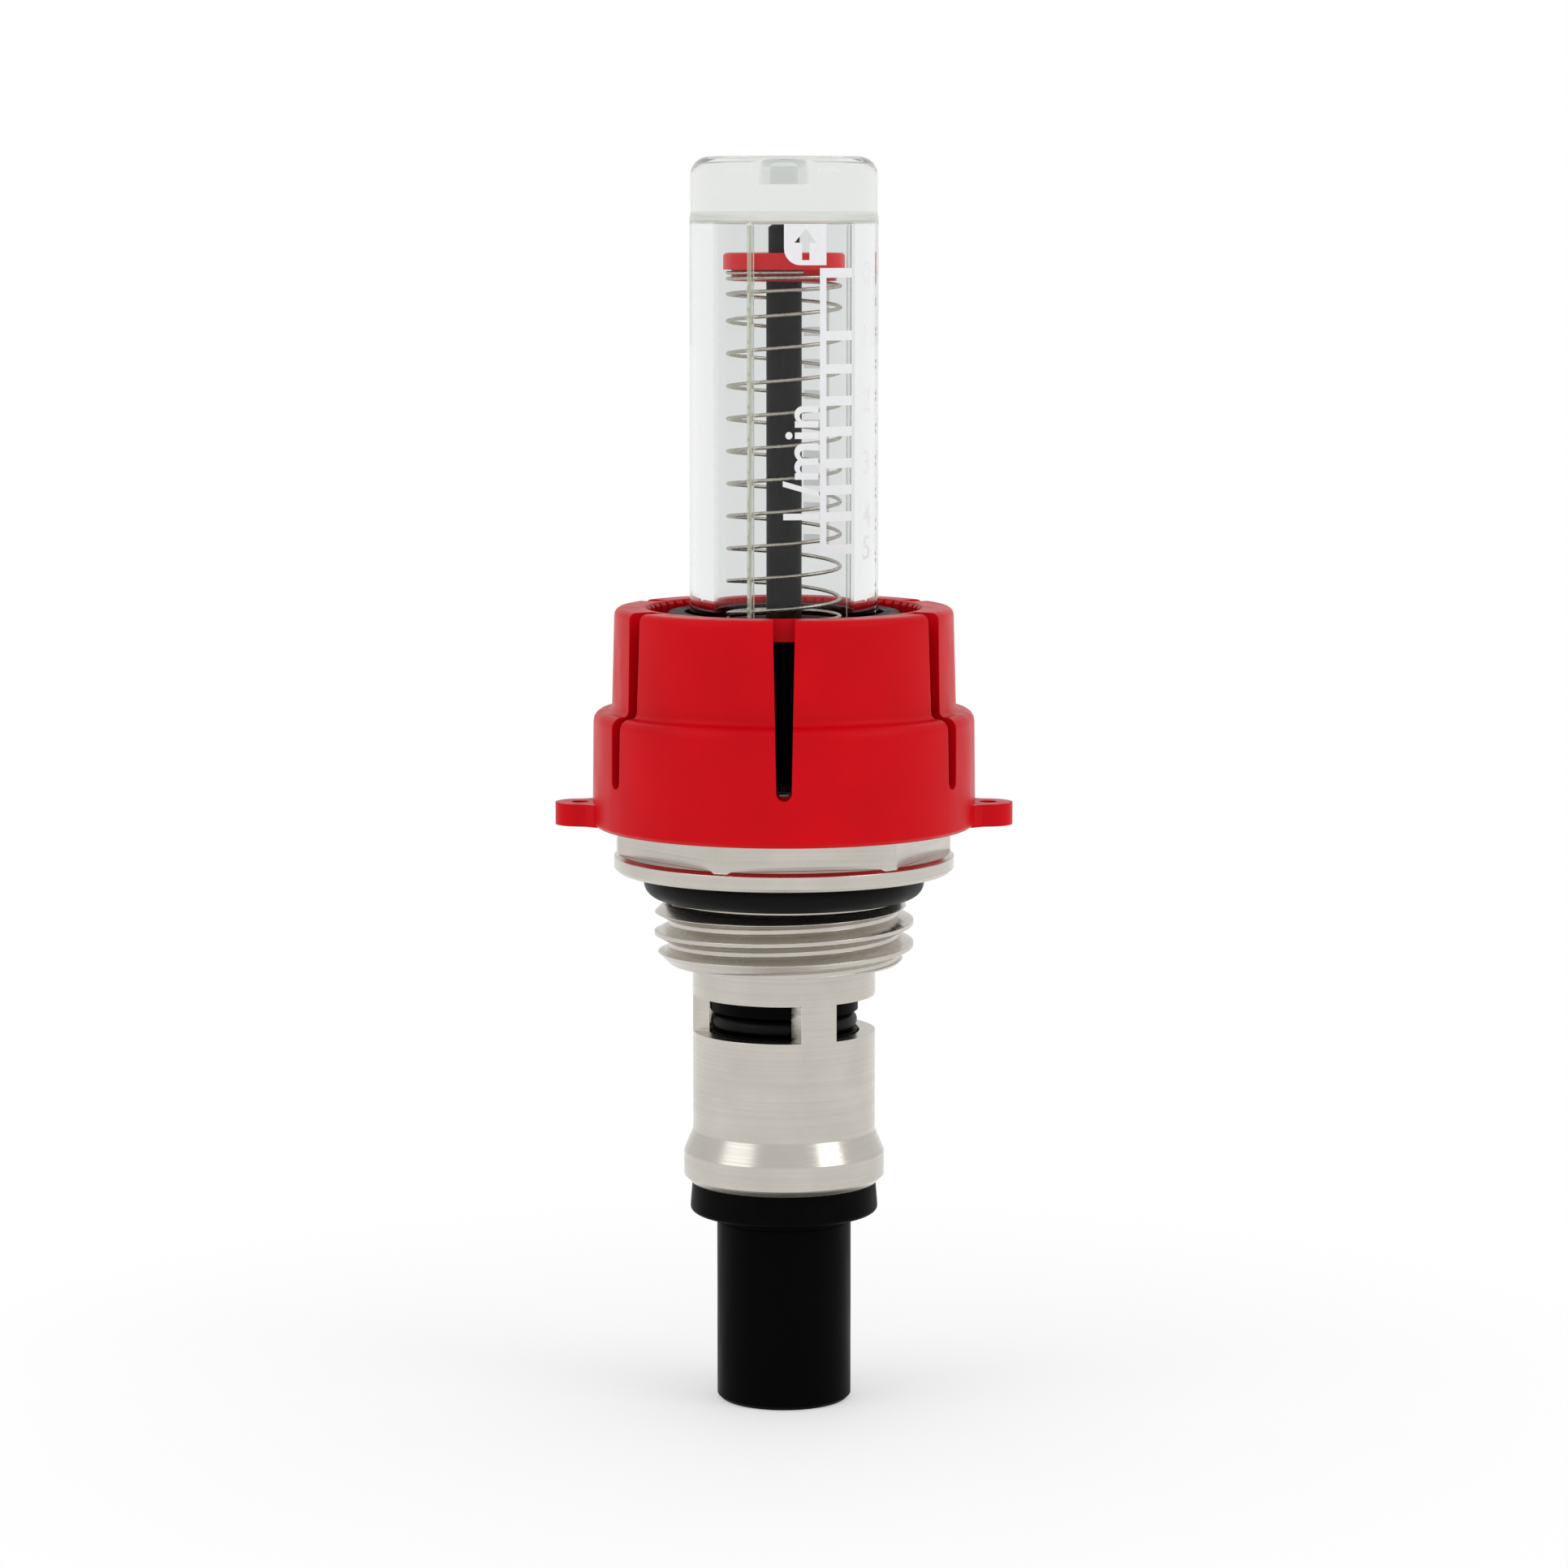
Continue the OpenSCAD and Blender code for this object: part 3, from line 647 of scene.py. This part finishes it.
def rectangle(u0, v0, u1, v1):
    return [(u0, v0), (u1, v0), (u1, v1), (u0, v1)]


# flow in litres a minute, and how far the disc's edge stands below zero at that flow
MARKS = [(0, 0), (1, 4.9), (1.5, 7.5), (2, 10.0), (2.5, 12.4), (3, 14.9), (3.5, 17.0), (4, 19.1), (5, 21.7)]


def build_print():
    """The flow scale, with the unit beside it and an arrow above it, and a plain copy behind."""
    bar_u = 2.9 * MM
    bar_width = 0.55 * MM
    tick_length = 2.5 * MM
    tick_height = 0.75 * MM
    number_u = bar_u + bar_width + tick_length + 1.4 * MM
    number_height = 1.9 * MM
    zero = low("indicator_disc") + 0.7 * MM
    bottom = zero - MARKS[-1][1] * MM
    marks = [filled_outlines([rectangle(
        bar_u, bottom - tick_height / 2, bar_u + bar_width, zero + tick_height / 2
    )])]
    for flow, drop in MARKS:
        z = zero - drop * MM
        start = bar_u + bar_width - 0.01 * MM
        marks.append(filled_outlines([rectangle(
            start, z - tick_height / 2, start + tick_length, z + tick_height / 2
        )]))
        if flow == int(flow):
            points, faces = lettering(str(int(flow)), number_height)
            marks.append((
                [(number_u + u, z - number_height / 2 + v) for u, v in points], faces
            ))
    text_low = zero - 19.3 * MM
    points, faces = lettering("l /min", 2.9 * MM, 8.95 * MM, 0.07)
    signs = [([(bar_u - 0.1 * MM - v, text_low + u) for u, v in points], faces)]

    tab_high = HOLLOW_TOP - 0.5 * MM
    tab_low = tab_high - 3.2 * MM
    tab_width = bar_u + bar_width
    corner = 1.3 * MM
    tab = [(corner + corner * math.cos(a), tab_low + corner + corner * math.sin(a)) for a in (
        math.radians(180 + 15 * k) for k in range(7)
    )]
    tab += [(tab_width, tab_low), (tab_width, tab_high), (0, tab_high)]
    tip = tab_high - 0.35 * MM
    middle = tab_width / 2
    arrow = [
        (middle, tip),
        (middle + 0.9 * MM, tip - 1.1 * MM),
        (middle + 0.3 * MM, tip - 1.1 * MM),
        (middle + 0.3 * MM, tab_low + 0.4 * MM),
        (middle - 0.3 * MM, tab_low + 0.4 * MM),
        (middle - 0.3 * MM, tip - 1.1 * MM),
        (middle - 0.9 * MM, tip - 1.1 * MM),
    ]
    signs.append(filled_outlines([tab, arrow]))

    made = bmesh.new()
    for points, faces in marks + signs:
        wrapped_ink(made, points, faces, 0)
    for points, faces in marks:
        wrapped_ink(made, points, faces, math.radians(120))
    mesh = bpy.data.meshes.new("flow_scale")
    bmesh.ops.recalc_face_normals(made, faces=made.faces)
    made.to_mesh(mesh)
    made.free()
    mesh.materials.append(PRINT)
    item = bpy.data.objects.new("flow_scale", mesh)
    bpy.context.scene.collection.objects.link(item)
    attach(item, "handwheel")
    return item


# ---------------------------------------------------------------- spring

CLOSED_TURNS = 1.0
OPEN_TURNS = 9.0
CLOSING_TURNS = 2.42
END_TURNS = 0.88


def coil_height(turn, foot, head, step):
    """Height of the wire's centre after a number of turns from its foot."""
    easy = CLOSED_TURNS + END_TURNS + CLOSING_TURNS / 2
    pitch = (head - foot - step * easy) / (OPEN_TURNS + CLOSING_TURNS / 2)
    if turn < CLOSED_TURNS:
        return foot + turn * step
    if turn < CLOSED_TURNS + OPEN_TURNS:
        return foot + CLOSED_TURNS * step + (turn - CLOSED_TURNS) * pitch
    total = CLOSED_TURNS + OPEN_TURNS + CLOSING_TURNS + END_TURNS
    if turn < total - END_TURNS:
        s = turn - CLOSED_TURNS - OPEN_TURNS
        rise = s * pitch - s * s * (pitch - step) / (2 * CLOSING_TURNS)
        return foot + CLOSED_TURNS * step + OPEN_TURNS * pitch + rise
    return head - (total - turn) * step


def build_spring():
    """The indicator's spring as a round wire, smooth along its length."""
    wire = 0.15 * MM
    coil_r = radius("indicator_spring") - wire
    foot = low("indicator_spring") + wire
    head = high("indicator_spring") - wire
    step = 2 * wire + 0.1 * MM
    per_turn = 40
    sides = 12
    total = CLOSED_TURNS + OPEN_TURNS + CLOSING_TURNS + END_TURNS
    rings = []
    count = round(total * per_turn)
    for i in range(count + 1):
        turn = i / per_turn
        a = math.pi + 2 * math.pi * turn
        z = coil_height(turn, foot, head, step)
        rings.append([
            (
                (coil_r + wire * math.cos(b)) * math.cos(a),
                (coil_r + wire * math.cos(b)) * math.sin(a),
                z + wire * math.sin(b),
            )
            for b in (2 * math.pi * k / sides for k in range(sides))
        ])
    points, faces = loft(rings)
    item = mesh_object("indicator_spring_wire", points, faces, STEEL, 50)
    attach(item, "handwheel")
    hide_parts("indicator_spring")
    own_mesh(item)
    return item


# ---------------------------------------------------------------- stage, light and camera


def build_stage():
    """A round white floor under the object."""
    floor_z = low("flow_tube") - 0.02 * MM
    floor_r = 3.0
    ring = [
        (floor_r * math.cos(a), floor_r * math.sin(a), 0.0)
        for a in (2 * math.pi * k / 64 for k in range(64))
    ]
    mesh = bpy.data.meshes.new("floor")
    mesh.from_pydata(ring, [], [tuple(range(64))])
    mesh.materials.append(pale_floor())
    floor = bpy.data.objects.new("floor", mesh)
    floor.location = (0, 0, floor_z)
    bpy.context.scene.collection.objects.link(floor)


def area_light(name, place, target, size, power):
    """A soft square light that points at a target."""
    data = bpy.data.lights.new(name, "AREA")
    data.shape = "SQUARE"
    data.size = size
    data.energy = power
    light = bpy.data.objects.new(name, data)
    light.location = place
    light.rotation_mode = "QUATERNION"
    light.rotation_quaternion = (Vector(target) - Vector(place)).to_track_quat("-Z", "Y")
    bpy.context.scene.collection.objects.link(light)


def build_lights():
    """White surroundings and two soft lights."""
    world = bpy.data.worlds.new("studio")
    world.use_nodes = True
    tree = world.node_tree
    backdrop = tree.nodes["Background"]
    backdrop.inputs["Color"].default_value = (1, 1, 1, 1)
    path = tree.nodes.new("ShaderNodeLightPath")
    seen = tree.nodes.new("ShaderNodeMath")
    seen.operation = "MAXIMUM"
    tree.links.new(path.outputs["Is Camera Ray"], seen.inputs[0])
    tree.links.new(path.outputs["Is Transmission Ray"], seen.inputs[1])
    strength = tree.nodes.new("ShaderNodeMapRange")
    strength.inputs["To Min"].default_value = 0.86
    strength.inputs["To Max"].default_value = 1.0
    tree.links.new(seen.outputs["Value"], strength.inputs["Value"])
    tree.links.new(strength.outputs["Result"], backdrop.inputs["Strength"])
    bpy.context.scene.world = world
    middle = (0, 0, 0.005)
    area_light("key", (-0.4, -0.22, 0.3), middle, 0.36, 0.42)
    area_light("fill", (0.4, -0.22, 0.3), middle, 0.26, 0.5)


def build_camera():
    """The photograph's viewpoint: level with the glass, looking slightly down."""
    distance = 0.377
    height = 0.0532
    pitch = math.radians(7.0)
    data = bpy.data.cameras.new("camera")
    data.sensor_width = 36.0
    data.lens = 108.1
    data.clip_start = 0.01
    data.clip_end = 20
    camera = bpy.data.objects.new("camera", data)
    camera.location = (0, -distance, height)
    camera.rotation_euler = (math.pi / 2 - pitch, 0, 0)
    bpy.context.scene.collection.objects.link(camera)
    bpy.context.scene.camera = camera


def set_picture():
    """Plain colour handling, so that white stays white."""
    scene = bpy.context.scene
    scene.view_settings.view_transform = "Standard"
    scene.view_settings.look = "None"
    scene.cycles.use_denoising = True
    scene.cycles.max_bounces = 16
    scene.cycles.transmission_bounces = 16
    scene.cycles.transparent_max_bounces = 16


paint_cad_nodes()
build_sight_glass()
build_print()
build_spring()
build_stage()
build_lights()
build_camera()
set_picture()
